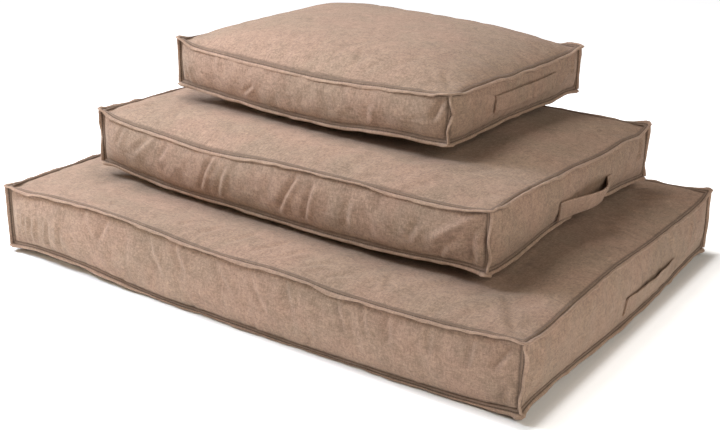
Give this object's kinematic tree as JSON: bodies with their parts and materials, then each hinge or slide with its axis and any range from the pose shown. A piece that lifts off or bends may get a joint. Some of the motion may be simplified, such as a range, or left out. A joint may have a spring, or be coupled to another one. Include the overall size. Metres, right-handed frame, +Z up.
{
  "type": "pet cushion bed",
  "caption": "Stacked set of boxed pet cushion beds in taupe cloth, with raised flange seams, a carrying strap on one short side and a zipped back border on each.",
  "frame": {"origin": "centre of the pile's bounding box, on the floor plane", "axes": "+X along the long side of the large bed towards the carrying straps, +Y towards the zipped back, +Z up"},
  "size_m": [1.2296, 0.875, 0.446],
  "materials": {
    "cover_top": "brushed faux suede canvas, matte, slightly mottled taupe",
    "cover_border": "brushed faux suede canvas, matte, slightly mottled taupe",
    "cover_base": "the same cover cloth on the underside",
    "welt": "cover cloth folded and stitched as a raised flange",
    "strap": "cover cloth folded into a flat strap, stitched at its ends",
    "zip_tape": "woven polyester tape, dyed to match",
    "zip_coil": "moulded nylon coil, dyed to match",
    "zip_metal": "die-cast slider and pull, satin",
    "liner": "plain non-woven liner bag",
    "fill": "polyester fibre fill"
  },
  "bodies": {
    "large_bed": {"large_top_panel": "cover_top", "large_bottom_panel": "cover_base", "large_front_border": "cover_border", "large_left_border": "cover_border", "large_right_border": "cover_border", "large_back_border_upper": "cover_border", "large_back_border_lower": "cover_border", "large_top_welt": "welt", "large_bottom_welt": "welt", "large_corner_welt_front_left": "welt", "large_corner_welt_front_right": "welt", "large_corner_welt_back_left": "welt", "large_corner_welt_back_right": "welt", "large_zip_tape": "zip_tape", "large_zip_coil": "zip_coil", "large_inner_liner": "liner", "large_fill_core": "fill"},
    "large_handle": {"large_handle_strap": "strap"},
    "large_zip_slider": {"large_zip_slider": "zip_metal"},
    "large_zip_pull": {"large_zip_pull": "zip_metal"},
    "medium_bed": {"medium_top_panel": "cover_top", "medium_bottom_panel": "cover_base", "medium_front_border": "cover_border", "medium_left_border": "cover_border", "medium_right_border": "cover_border", "medium_back_border_upper": "cover_border", "medium_back_border_lower": "cover_border", "medium_top_welt": "welt", "medium_bottom_welt": "welt", "medium_corner_welt_front_left": "welt", "medium_corner_welt_front_right": "welt", "medium_corner_welt_back_left": "welt", "medium_corner_welt_back_right": "welt", "medium_zip_tape": "zip_tape", "medium_zip_coil": "zip_coil", "medium_inner_liner": "liner", "medium_fill_core": "fill"},
    "medium_handle": {"medium_handle_strap": "strap"},
    "medium_zip_slider": {"medium_zip_slider": "zip_metal"},
    "medium_zip_pull": {"medium_zip_pull": "zip_metal"},
    "small_bed": {"small_top_panel": "cover_top", "small_bottom_panel": "cover_base", "small_front_border": "cover_border", "small_left_border": "cover_border", "small_right_border": "cover_border", "small_back_border_upper": "cover_border", "small_back_border_lower": "cover_border", "small_top_welt": "welt", "small_bottom_welt": "welt", "small_corner_welt_front_left": "welt", "small_corner_welt_front_right": "welt", "small_corner_welt_back_left": "welt", "small_corner_welt_back_right": "welt", "small_zip_tape": "zip_tape", "small_zip_coil": "zip_coil", "small_inner_liner": "liner", "small_fill_core": "fill"},
    "small_handle": {"small_handle_strap": "strap"},
    "small_zip_slider": {"small_zip_slider": "zip_metal"},
    "small_zip_pull": {"small_zip_pull": "zip_metal"}
  },
  "joints": [
    {"name": "large_handle_fold", "type": "hinge", "parent": "large_bed", "child": "large_handle", "pos_m": [0.60182, 0.07835, 0.0765], "axis": [0, -1, 0], "range_deg": [0, 70]},
    {"name": "large_zip_run", "type": "slide", "parent": "large_bed", "child": "large_zip_slider", "axis": [-1, 0, 0], "range_m": [0, 0.822]},
    {"name": "large_zip_pull_swing", "type": "hinge", "parent": "large_zip_slider", "child": "large_zip_pull", "pos_m": [0.40408, 0.43595, 0.07], "axis": [0, 0, 1], "range_deg": [0, 170]},
    {"name": "medium_lift", "type": "slide", "parent": "large_bed", "child": "medium_bed", "axis": [0, 0, 1], "range_m": [0, 0.35]},
    {"name": "medium_handle_fold", "type": "hinge", "parent": "medium_bed", "child": "medium_handle", "pos_m": [0.46922, 0.04916, 0.2355], "axis": [-0.038, -0.9993, 0], "range_deg": [0, 70]},
    {"name": "medium_zip_run", "type": "slide", "parent": "medium_bed", "child": "medium_zip_slider", "axis": [-0.9993, 0.038, 0], "range_m": [0, 0.6483]},
    {"name": "medium_zip_pull_swing", "type": "hinge", "parent": "medium_zip_slider", "child": "medium_zip_pull", "pos_m": [0.32169, 0.3663, 0.2205], "axis": [0, 0, 1], "range_deg": [0, 170]},
    {"name": "small_lift", "type": "slide", "parent": "medium_bed", "child": "small_bed", "axis": [0, 0, 1], "range_m": [0, 0.35]},
    {"name": "small_handle_fold", "type": "hinge", "parent": "small_bed", "child": "small_handle", "pos_m": [0.29028, 0.12583, 0.391], "axis": [-0.046, -0.9989, 0], "range_deg": [0, 70]},
    {"name": "small_zip_run", "type": "slide", "parent": "small_bed", "child": "small_zip_slider", "axis": [-0.9989, 0.046, 0], "range_m": [0, 0.465]},
    {"name": "small_zip_pull_swing", "type": "hinge", "parent": "small_zip_slider", "child": "small_zip_pull", "pos_m": [0.18627, 0.38398, 0.36675], "axis": [0, 0, 1], "range_deg": [0, 170]}
  ]
}
